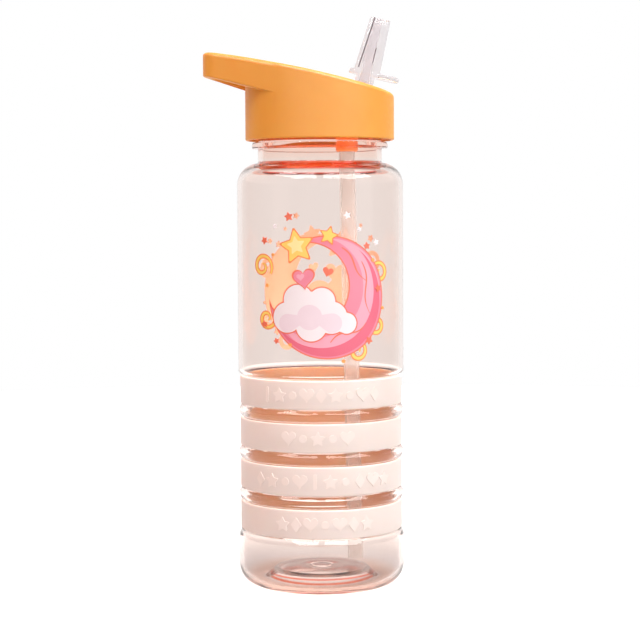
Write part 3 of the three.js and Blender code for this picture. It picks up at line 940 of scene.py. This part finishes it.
def make_inner_cap():
    def with_thread(radius, height, angle):
        if abs(radius - SKIRT_INNER_RADIUS) > 0.01:
            return radius
        return radius - thread_height(height, angle, LID_THREAD_START)

    def is_threaded(a, b):
        return max(a.x, b.x) < SKIRT_INNER_RADIUS + 0.01 and min(a.x, b.x) > SKIRT_INNER_RADIUS - 0.01

    plate = rounded([
        (0, PLATE_BOTTOM),
        (PLUG_INNER_RADIUS, PLATE_BOTTOM, 0.4),
        (PLUG_INNER_RADIUS, PLUG_BOTTOM, 0.4),
        (PLUG_OUTER_RADIUS, PLUG_BOTTOM, 0.4),
        (PLUG_OUTER_RADIUS, PLATE_BOTTOM, 0.1),
        (SKIRT_INNER_RADIUS, PLATE_BOTTOM, 0.1),
        (SKIRT_INNER_RADIUS, SKIRT_BOTTOM, 0.3),
        (SKIRT_OUTER_RADIUS, SKIRT_BOTTOM, 0.3),
        (SKIRT_OUTER_RADIUS, PLATE_TOP, 0.4),
        (0, PLATE_TOP),
    ])
    bm = bmesh.new()
    turned(bm, fine_outline(plate, is_threaded, 30), 144, shape=with_thread)
    over_straw = Matrix.Translation((STRAW_X, 0, 0))
    socket_top = PLATE_BOTTOM + 0.9
    socket = turned_solid([
        (0, SOCKET_BOTTOM),
        (SOCKET_RADIUS, SOCKET_BOTTOM, 1.0),
        (SOCKET_RADIUS, socket_top),
        (0, socket_top),
    ], 64, place=over_straw)
    bm = cut(
        joined(bm, socket),
        cylinder(STRAW_RADIUS + CLEARANCE, -4, STRAW_TOP + 0.5 - STRAW_Z, STRAW_PLACE),
        cylinder(THROAT_RADIUS, STRAW_TOP - 1, PLATE_TOP + 1, over_straw, 32))
    for across, radius in VENT_HOLES:
        place = Matrix.Translation((VENT_X, across, 0))
        bm = cut(bm, cylinder(radius, PLATE_BOTTOM - 1, PLATE_TOP + 1, place, 24))
    piece = new_object("inner_cap_moulding", bm, [INNER_ORANGE], 40)
    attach(piece, "lid")
    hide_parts("inner_cap")


def make_gasket():
    bottom = MOUTH_HEIGHT + 0.2
    ring = tube(GASKET_INNER_RADIUS, GASKET_OUTER_RADIUS, bottom, PLATE_BOTTOM - 0.2, (0.3, 0.3), 128)
    piece = new_object("lid_gasket_ring", ring, [SILICONE])
    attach(piece, "lid_seal")
    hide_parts("lid_gasket")


def make_vent():
    disc_top = PLATE_BOTTOM - 0.2
    plug = turned_solid([
        (0, disc_top - 0.9),
        (3.2, disc_top - 0.9, 0.3),
        (4.0, disc_top, 0.2),
        (1.2, disc_top, 0.15),
        (1.2, PLATE_TOP + 0.2, 0.1),
        (2.1, PLATE_TOP + 0.2, 0.25),
        (1.4, PLATE_TOP + 2.0, 0.5),
        (0, PLATE_TOP + 2.2),
    ], 48, place=Matrix.Translation((VENT_X, 0, 0)))
    piece = new_object("vent_plug", plug, [SILICONE])
    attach(piece, "lid")
    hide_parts("vent_valve")


def make_straw():
    top = (STRAW_TOP - STRAW_Z) / math.cos(STRAW_LEAN)
    bottom = (STRAW_BOTTOM - STRAW_Z) / math.cos(STRAW_LEAN)
    straw = tube(STRAW_BORE_RADIUS, STRAW_RADIUS, bottom, top, (0.3, 0.35), 64, STRAW_PLACE)
    piece = new_object("straw_tube", straw, [STRAW_PLASTIC])
    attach(piece, "lid")
    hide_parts("straw")


make_inner_cap()
make_gasket()
make_vent()
make_straw()


# ---------- spout ----------

SEAL_PAD_TOP = 208.2
DRUM_RADIUS = 4.6
DRUM_HALF_LENGTH = 6.5
PIN_END = 8.6
STEM_RADIUS = 4.15
TAB_BOTTOM = 7.1
TAB_TOP = 9.4
TAB_BACK = -7.7
TAB_FRONT = 14.8
TAB_HALF_WIDTH = 6.0
MOUTHPIECE_TOP = 32.6
MOUTHPIECE_FOOT = (8.9, -5.7, 5.9, 6.2, 0)
MOUTHPIECE_TIP = (MOUTHPIECE_TOP, -3.75, 5.3, 4.4, 0)
STEM_BORE_RADIUS = 2.2
SEAL_BORE_RADIUS = 1.7
# each slit's foot and top as (height, place along the mouthpiece), its half width and its depth
SLITS = [((9.9, -3.9), (32.9, -1.75), 0.26, 0.8), ((12.9, 1.7), (19.6, 1.8), 0.2, 0.5)]


def on_spout(point):
    return AT_PIVOT @ Vector(point)


def lofted(levels, corner):
    """A closed solid through rounded rectangles: (height, left, right, half width, shift across)."""
    bm = bmesh.new()
    rings = []
    for height, left, right, half_width, shift in levels:
        outline = box_outline(left, right, half_width, corner)
        rings.append([bm.verts.new(on_spout((p.x, p.y + shift, height))) for p in outline])
    return skinned(bm, rings)


def mouthpiece_level(height):
    """The mouthpiece's (height, left, right, half width, shift): its flat sides draw in upwards."""
    way = (height - MOUTHPIECE_FOOT[0]) / (MOUTHPIECE_TIP[0] - MOUTHPIECE_FOOT[0])
    return tuple(a + (b - a) * way for a, b in zip(MOUTHPIECE_FOOT, MOUTHPIECE_TIP))


def mouthpiece():
    levels = [mouthpiece_level(height) for height in (8.9, 14, 20, 26, 32.1)]
    levels += [(32.45, -3.65, 5.2, 4.3, 0), (MOUTHPIECE_TOP, -3.4, 4.95, 4.05, 0)]
    return lofted(levels, 1.6)


def passage():
    """The drinking passage: flat-sided in the mouthpiece, round in the stem."""
    flat = lofted([(12.5, -2.9, 1.8, 2.6, 0), (33.5, -2.2, 1.8, 2.3, 0)], 0.5)
    return joined(flat, cylinder(STEM_BORE_RADIUS, -DRUM_RADIUS - 1, 13, AT_PIVOT))


def side_slit(low, high, half_width, depth):
    """A narrow moulded slit in the front of the mouthpiece."""
    levels = []
    for height, along in (low, high):
        wall = mouthpiece_level(height)[3]
        levels.append((height, along - half_width, along + half_width, depth, -wall))
    return lofted(levels, 0.05)


def in_slit(point):
    """Whether a point of the spout is on a slit's walls."""
    place = AT_PIVOT.inverted() @ point
    for (bottom, start), (top, end), half_width, depth in SLITS:
        way = (place.z - bottom) / (top - bottom)
        across = place.x - start - (end - start) * way
        inside = place.y + mouthpiece_level(place.z)[3]
        if -0.01 < way < 1.01 and abs(across) < half_width + 0.02 and 0.02 < inside < depth + 0.05:
            return True
    return False


def make_spout():
    tab = half_round(TAB_FRONT - TAB_HALF_WIDTH, TAB_HALF_WIDTH, 0, 28)
    tab += half_round(TAB_BACK + TAB_HALF_WIDTH, TAB_HALF_WIDTH, 1, 28)
    spout = joined(
        across_pivot(DRUM_RADIUS, DRUM_HALF_LENGTH, 64, 0.4),
        across_pivot(PIN_RADIUS, PIN_END, 40, 0.3),
        cylinder(STEM_RADIUS, 0, TAB_TOP - 1, AT_PIVOT, 64),
        prism(tab, rim_rows(TAB_BOTTOM, TAB_TOP, 0.9, 0.9), on_spout),
        mouthpiece())
    spout = cut(spout, passage(), *(side_slit(*slit) for slit in SLITS))
    # the slits' walls get the painted shade
    for face in spout.faces:
        face.material_index = int(in_slit(face.calc_center_median()))
    piece = new_object("spout_moulding", spout, [CLEAR_PLASTIC, SLIT_SHADE], 30)
    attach(piece, "spout")
    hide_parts("spout")


def make_spout_seal():
    """A soft pad over the straw's port, with the sleeve that the spout's drum turns in."""
    level = PLATE_TOP + 0.2
    port_x = PIVOT.x - (PIVOT.z - PLATE_TOP) * SLOPE
    outline = half_round(port_x, SEAL_RADIUS, 0, 24) + half_round(STRAW_X, SEAL_RADIUS, 1, 24)
    seal = cut(
        joined(
            cylinder(SEAL_RADIUS, -DRUM_RADIUS - 10, -STEM_RADIUS - CLEARANCE, AT_PIVOT),
            prism(outline, [(0, level), (0, SEAL_PAD_TOP - 0.25), (-0.25, SEAL_PAD_TOP)])),
        across_pivot(DRUM_RADIUS + CLEARANCE, DRUM_HALF_LENGTH, 64),
        cylinder(SEAL_BORE_RADIUS, -DRUM_RADIUS - 12, 1, AT_PIVOT, 32),
        prism(box_outline(-10, 40, 20, 1), [(0, level - 20), (0, level)]))
    piece = new_object("spout_seal_pad", seal, [SILICONE], 40)
    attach(piece, "lid")
    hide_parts("spout_seal")


make_spout()
make_spout_seal()


# ---------- printed design ----------

PRINT_HEIGHT = 129.0
FIRST_INK_LIFT = (0.012, 0.06)  # inner and outer face of the first shape, from the bottle's wall
INK_LIFT_STEP = (0.003, 0.014)  # added for each shape that lies over it


def blob_outline(circles):
    """The outline, seen from the middle of the first circle, of several circles joined together."""
    middle = Vector(circles[0][:2])
    result = []
    for k in range(240):
        ray = polar((0, 0), 1, 2 * math.pi * k / 240)
        reach = 0
        for x, y, radius in circles:
            away = Vector((x, y)) - middle
            along = away.dot(ray)
            off = away.length_squared - along ** 2
            if off < radius ** 2:
                reach = max(reach, along + math.sqrt(radius ** 2 - off))
        result.append(middle + ray * reach)
    return result


def crescent_outline(outer, inner, centre, inner_centre, grow=0.0):
    """The part of one circle outside another, with rounded horns."""
    outer += grow
    inner -= grow
    apart = Vector(inner_centre) - Vector(centre)
    distance = apart.length
    turn = math.atan2(apart.y, apart.x)
    along = (distance ** 2 + outer ** 2 - inner ** 2) / (2 * distance)
    half = math.acos(along / outer)
    inner_half = math.acos((along - distance) / inner)
    outside = arc(centre, outer, turn + half, turn + 2 * math.pi - half, 110)
    inside = arc(inner_centre, inner, turn + 2 * math.pi - inner_half, turn + inner_half, 90)
    return outside[:-1] + inside[:-1]


def stroke_outline(points, width):
    """A tapering stroke along a line of points."""
    last = len(points) - 1
    left = []
    right = []
    for i, point in enumerate(points):
        ahead = (points[min(i + 1, last)] - points[max(i - 1, 0)]).normalized()
        normal = Vector((-ahead.y, ahead.x))
        half = width / 2 * max(0.18, math.sin(math.pi * min(0.94, 0.12 + i / last * 0.88)) ** 0.6)
        left.append(point + normal * half)
        right.append(point - normal * half)
    return right + left[::-1]


def curl_points(centre, radius, start, turns):
    """A spiral inwards; negative turns run clockwise."""
    ways = [k / 60 for k in range(61)]
    return [Vector(centre) + polar((0, 0), 1, start + 2 * math.pi * turns * t) * (radius * (1 - 0.82 * t))
            for t in ways]


def wave_points(start, end, height):
    a = Vector(start)
    b = Vector(end)
    normal = Vector((a.y - b.y, b.x - a.x)).normalized()
    return [a.lerp(b, k / 40) + normal * height * math.sin(2 * math.pi * k / 40) for k in range(41)]


PRINT_COLOURS = {
    "coral": (232, 112, 84),
    "pink": (232, 132, 154),
    "light_pink": (236, 164, 184),
    "deep_pink": (224, 98, 124),
    "white": (238, 231, 236),
    "shade": (232, 214, 224),
    "gold": (246, 208, 102),
    "light_gold": (250, 228, 158),
    "orange": (240, 158, 84),
    "ring": (238, 134, 74),
}


# drawn in millimetres about the print's middle
CURLS = (  # centre, radius, first angle and turns
    ((-27.0, 12.0), 5.5, -0.6, 1.35),
    ((-24.5, -10.0), 5.0, 0.9, -1.3),
    ((27.5, 9.0), 5.2, 3.4, -1.3),
    ((26.0, -13.0), 4.6, 2.2, 1.3),
    ((16.0, -24.0), 4.2, 1.2, -1.25),
)
MOON = ((3.0, -1.0), (-6.0, 4.0))  # centres of its outer and its inner circle
WAVES = (((18, 14), (22, -8), 1.2), ((9, 20), (20, 6), 1.0), ((4, -20), (20, -12), 1.4))  # ends and height
CLOUD = (  # circles: x, y and radius
    (-5, -7, 8.6), (-14.5, -9.5, 6.4), (4.5, -9.5, 6.8), (-9.5, -2.0, 6.4),
    (0.5, -2.5, 5.6), (-4, -13, 6.5), (11, -12, 4.4),
)
BIG_STAR = (-10.0, 20.5)
SMALL_STAR = (3.5, 25.0)
HEART = (-7.0, 6.5)
CORAL_STARS = (  # x, y, radius and turn
    (-13.5, 33, 2.2, 0.2), (-25.5, 23, 1.9, 0.5), (20.5, 20.5, 1.8, 0.1), (26.5, 2.5, 1.9, 0.3),
    (21.5, -19.5, 2.0, 0.6), (-25.8, -12.5, 1.8, 0.2), (-19.5, -19.5, 1.5, 0.4),
)
WHITE_STARS = ((11.5, 33.5, 1.8), (25.5, 22, 1.6), (-20, 29, 1.2), (17, 27.5, 1.2))
DOTS = ((-24, 4, 0.8), (-21, 17, 0.7), (23.5, 14.5, 0.8), (-13, -21, 0.7), (9.5, -28, 0.8), (29, -6, 0.7))
RIM = 0.55  # width of the coral line round a shape


def print_shapes():
    """(colour, outline) from the bottle's wall outwards."""
    shapes = []
    for curl in CURLS:
        points = curl_points(*curl)
        shapes += [("ring", stroke_outline(points, 2.3)), ("gold", stroke_outline(points, 1.2))]
    shapes += [
        ("coral", crescent_outline(25.6, 18.6, *MOON, RIM)),
        ("pink", crescent_outline(25.6, 18.6, *MOON)),
        ("light_pink", crescent_outline(24.0, 21.4, (3.6, -0.2), (-2.6, 3.4))),
        ("deep_pink", crescent_outline(24.6, 23.9, (2.8, -1.4), (0.2, 1.6))),
    ]
    shapes += [("coral", stroke_outline(wave_points(*wave), 0.7)) for wave in WAVES]
    shapes += [
        ("coral", blob_outline([(x, y, r + RIM) for x, y, r in CLOUD])),
        ("white", blob_outline(CLOUD)),
        ("shade", blob_outline([(x + 0.3, y - 2.4, r * 0.62) for x, y, r in CLOUD[:3]])),
        ("ring", star_outline(8.6, BIG_STAR, 0.18)),
        ("gold", star_outline(7.5, BIG_STAR, 0.18)),
        ("light_gold", star_outline(4.3, (-10.3, 20.9), 0.18)),
        ("ring", star_outline(4.6, SMALL_STAR, -0.25)),
        ("gold", star_outline(3.7, SMALL_STAR, -0.25)),
        ("coral", heart_outline(5.0, HEART, 0.12)),
        ("pink", heart_outline(4.3, HEART, 0.12)),
        ("light_pink", heart_outline(1.7, (-8.4, 7.4), 0.12)),
        ("coral", heart_outline(2.3, (3.0, 9.5), -0.3)),
    ]
    shapes += [("coral", star_outline(radius, (x, y), turn)) for x, y, radius, turn in CORAL_STARS]
    shapes += [("white", star_outline(radius, (x, y), 0.3)) for x, y, radius in WHITE_STARS]
    shapes += [("orange", circle_outline(radius, 20, (x, y))) for x, y, radius in DOTS]
    return shapes


def make_print(name, angle):
    names = list(PRINT_COLOURS)
    bm = bmesh.new()
    for i, (colour, outline) in enumerate(print_shapes()):
        low, high = (first + step * i for first, step in zip(FIRST_INK_LIFT, INK_LIFT_STEP))
        wrapped(bm, outline, low, high, BODY_RADIUS, (angle, PRINT_HEIGHT), names.index(colour), len(names))
    # the last slot, for the inks' undersides, holds a painted light
    piece = new_object(name, bm, INKS + [INK_BACK], 30)
    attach(piece, "bottle")


INKS = [ink(name, colour) for name, colour in PRINT_COLOURS.items()]
make_print("print_front", 0)
make_print("print_back", math.pi)


# ---------- floor and light ----------

FLOOR_TO_CAMERA = (0.55, 0.55, 0.55, 1)
FLOOR_TO_OBJECT = (0.28, 0.28, 0.28, 1)  # little light comes back up
LOW_LEFT = (0.36, 0.15, 0.09, 1)
HIGH_LEFT = (1.0, 0.62, 0.5, 1)
LOW_RIGHT = (0.8, 0.77, 0.74, 1)
THROUGH_PLASTIC = (0.72, 0.66, 0.63, 1)
WHITE = (1, 1, 1, 1)


def make_floor():
    """A plain pale table top, for looks only. It glows a little right under the object and far away."""
    bm = bmesh.new()
    bmesh.ops.create_circle(bm, cap_ends=True, radius=900, segments=96)
    bmesh.ops.translate(bm, verts=bm.verts, vec=(0, 0, -0.05))
    material, tree, shader = new_material("floor")
    away = tree.nodes.new("ShaderNodeVectorMath")
    away.operation = "LENGTH"
    set_inputs(tree, away, {0: coordinates(tree)})
    distance = away.outputs["Value"]
    beyond = add_range(tree, distance, 0.1, 0.7, 0.5, 0.8)
    beneath = add_range(tree, distance, 0.02, 0.03, 0.4, 0.0)
    bounce = tree.nodes.new("ShaderNodeLightPath").outputs["Is Diffuse Ray"]
    glow = product(tree, add_math(tree, "ADD", beyond, beneath), add_math(tree, "SUBTRACT", 1.0, bounce))
    set_inputs(tree, shader, {
        "Base Color": add_mix(tree, bounce, FLOOR_TO_CAMERA, FLOOR_TO_OBJECT),
        "Roughness": 0.6,
        "Emission Color": WHITE,
        "Emission Strength": glow,
    })
    floor = new_object("floor", bm, [material])


def area_light(name, place, width, height, brightness, target=None, glossy=True, diffuse=True):
    """A soft rectangular lamp, facing down unless it has a target."""
    data = bpy.data.lights.new(name, "AREA")
    data.shape = "RECTANGLE"
    data.size = width
    data.size_y = height
    data.energy = brightness * math.pi * width * height
    lamp = bpy.data.objects.new(name, data)
    lamp.location = place
    if target:
        lamp.rotation_euler = (Vector(target) - Vector(place)).to_track_quat("-Z", "Y").to_euler()
    lamp.visible_glossy = glossy
    lamp.visible_diffuse = diffuse
    lamp.visible_transmission = diffuse
    bpy.context.scene.collection.objects.link(lamp)


def studio_world():
    """White to the camera and behind the object; in front of it, dimmer on the left than on the right."""
    world = bpy.data.worlds.new("studio")
    world.use_nodes = True
    tree = world.node_tree
    x, y, z = add_node(tree, "SeparateXYZ", {"Vector": coordinates(tree, "Generated")}).outputs
    ray = tree.nodes.new("ShaderNodeLightPath").outputs
    side = add_range(tree, x, -0.9, 0.9)
    behind = add_range(tree, y, 0.4, 0.75)
    above = add_range(tree, z, -0.1, 0.8)
    left = add_mix(tree, above, LOW_LEFT, HIGH_LEFT)
    right = add_mix(tree, above, LOW_RIGHT, WHITE)
    front = add_mix(tree, side, left, right)
    front = add_mix(tree, ray["Is Transmission Ray"], front, THROUGH_PLASTIC)
    open_side = add_math(tree, "MAXIMUM", behind, ray["Is Camera Ray"])
    fill = product(tree, behind, ray["Is Diffuse Ray"])
    set_inputs(tree, tree.nodes["Background"], {
        "Color": add_mix(tree, open_side, front, WHITE),
        "Strength": add_math(tree, "MULTIPLY_ADD", fill, 0.5, 1.0),
    })
    bpy.context.scene.world = world


def make_lights():
    studio_world()
    light_paths = bpy.context.scene.cycles
    light_paths.max_bounces = 24
    light_paths.glossy_bounces = 12
    light_paths.transmission_bounces = 24
    bpy.context.scene.view_settings.view_transform = "Standard"
    area_light("softbox_left", (-0.24, -0.33, 0.95), 0.43, 0.55, 5.2, glossy=False)
    area_light("softbox_right", (0.37, -0.18, 0.95), 0.55, 0.8, 4.9, glossy=False)
    area_light("window_left", (-0.53, -0.85, 0.95), 0.86, 1.3, 20, diffuse=False)
    area_light("window_right", (0.8, -0.85, 0.95), 1.4, 1.3, 20, diffuse=False)
    area_light("side", (0.78, -0.4, 0.34), 0.45, 0.6, 0.9, target=(0, 0, 0.14))


make_floor()
make_lights()
